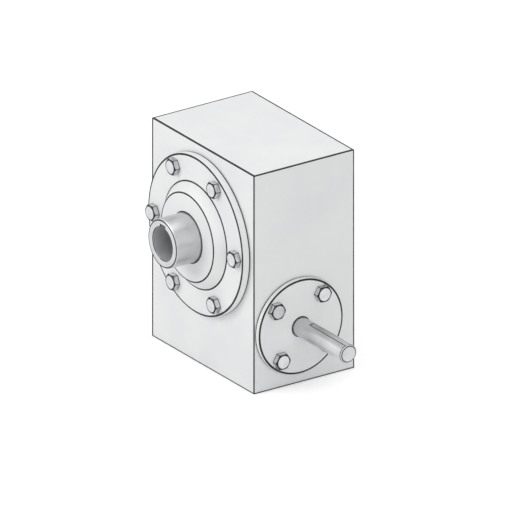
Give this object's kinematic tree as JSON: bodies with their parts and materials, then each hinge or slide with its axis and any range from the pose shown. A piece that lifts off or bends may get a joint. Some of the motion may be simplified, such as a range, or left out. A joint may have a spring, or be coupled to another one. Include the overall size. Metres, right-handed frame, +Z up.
{
  "type": "worm gear reducer",
  "caption": "Right-angle worm gear reducer: box housing, flanged hollow keyed output hub, and a flanged input shaft on a lower crossed axis.",
  "frame": {"origin": "centre of the housing's underside, which is also the centre of its four foot holes", "axes": "+Z up, +X out of the input face along the worm shaft, -Y out of the output face along the hollow shaft"},
  "size_m": [0.274, 0.182, 0.238],
  "materials": {
    "painted_casting": "satin off-white paint on a casting",
    "plated_steel": "zinc plated",
    "ground_steel": "turned and ground",
    "bronze": "machined bronze",
    "cast_iron": "machined casting",
    "gasket_sheet": "pressed fibre sheet",
    "seal_rubber": "moulded nitrile rubber",
    "brass": "pressed",
    "bearing_steel": "ground and polished",
    "spring_steel": "phosphated"
  },
  "bodies": {
    "housing": {"housing": "painted_casting", "oil_plugs": "plated_steel", "plug_washers": "brass", "output_cover": "painted_casting", "output_cover_gasket": "gasket_sheet", "output_cover_bolts": "plated_steel", "input_cover": "painted_casting", "input_cover_gasket": "gasket_sheet", "input_cover_bolts": "plated_steel", "rear_end_cap": "ground_steel", "rear_bore_retaining_ring": "spring_steel", "front_output_bearing_outer_ring": "bearing_steel", "rear_output_bearing_outer_ring": "bearing_steel", "front_worm_bearing_outer_ring": "bearing_steel", "rear_worm_bearing_outer_ring": "bearing_steel", "front_output_seal": "seal_rubber", "front_output_seal_spring": "spring_steel", "rear_output_seal": "seal_rubber", "rear_output_seal_spring": "spring_steel", "input_seal": "seal_rubber", "input_seal_spring": "spring_steel"},
    "output": {"output_shaft": "ground_steel", "wheel_key": "ground_steel", "wheel_centre": "cast_iron", "worm_wheel_rim": "bronze", "rim_lock_screws": "spring_steel", "wheel_spacer": "ground_steel", "output_shaft_retaining_ring": "spring_steel", "front_output_bearing_inner_ring": "bearing_steel", "rear_output_bearing_inner_ring": "bearing_steel"},
    "input": {"worm_shaft": "ground_steel", "front_worm_retaining_ring": "spring_steel", "rear_worm_retaining_ring": "spring_steel", "front_worm_bearing_inner_ring": "bearing_steel", "rear_worm_bearing_inner_ring": "bearing_steel"},
    "front_output_cage": {"front_output_bearing_cage": "brass", "front_output_bearing_balls": "bearing_steel"},
    "rear_output_cage": {"rear_output_bearing_cage": "brass", "rear_output_bearing_balls": "bearing_steel"},
    "front_worm_cage": {"front_worm_bearing_cage": "brass", "front_worm_bearing_balls": "bearing_steel"},
    "rear_worm_cage": {"rear_worm_bearing_cage": "brass", "rear_worm_bearing_balls": "bearing_steel"}
  },
  "joints": [
    {"name": "output_spin", "type": "hinge", "parent": "housing", "child": "output", "pos_m": [0, 0, 0.144], "axis": [0, 1, 0], "continuous": true},
    {"name": "input_spin", "type": "hinge", "parent": "housing", "child": "input", "pos_m": [0, -0.0085, 0.064], "axis": [1, 0, 0], "continuous": true},
    {"name": "front_output_cage_spin", "type": "hinge", "parent": "housing", "child": "front_output_cage", "pos_m": [0, -0.0555, 0.144], "axis": [0, 1, 0], "continuous": true},
    {"name": "rear_output_cage_spin", "type": "hinge", "parent": "housing", "child": "rear_output_cage", "pos_m": [0, 0.039, 0.144], "axis": [0, 1, 0], "continuous": true},
    {"name": "front_worm_cage_spin", "type": "hinge", "parent": "housing", "child": "front_worm_cage", "pos_m": [0.0715, -0.0085, 0.064], "axis": [1, 0, 0], "continuous": true},
    {"name": "rear_worm_cage_spin", "type": "hinge", "parent": "housing", "child": "rear_worm_cage", "pos_m": [-0.0715, -0.0085, 0.064], "axis": [1, 0, 0], "continuous": true}
  ],
  "couplings": [
    {"joint": "input_spin", "follows": "output_spin", "ratio": 28},
    {"joint": "front_output_cage_spin", "follows": "output_spin", "ratio": 0.42414},
    {"joint": "rear_output_cage_spin", "follows": "output_spin", "ratio": 0.42414},
    {"joint": "front_worm_cage_spin", "follows": "output_spin", "ratio": 10.299},
    {"joint": "rear_worm_cage_spin", "follows": "output_spin", "ratio": 10.299}
  ]
}
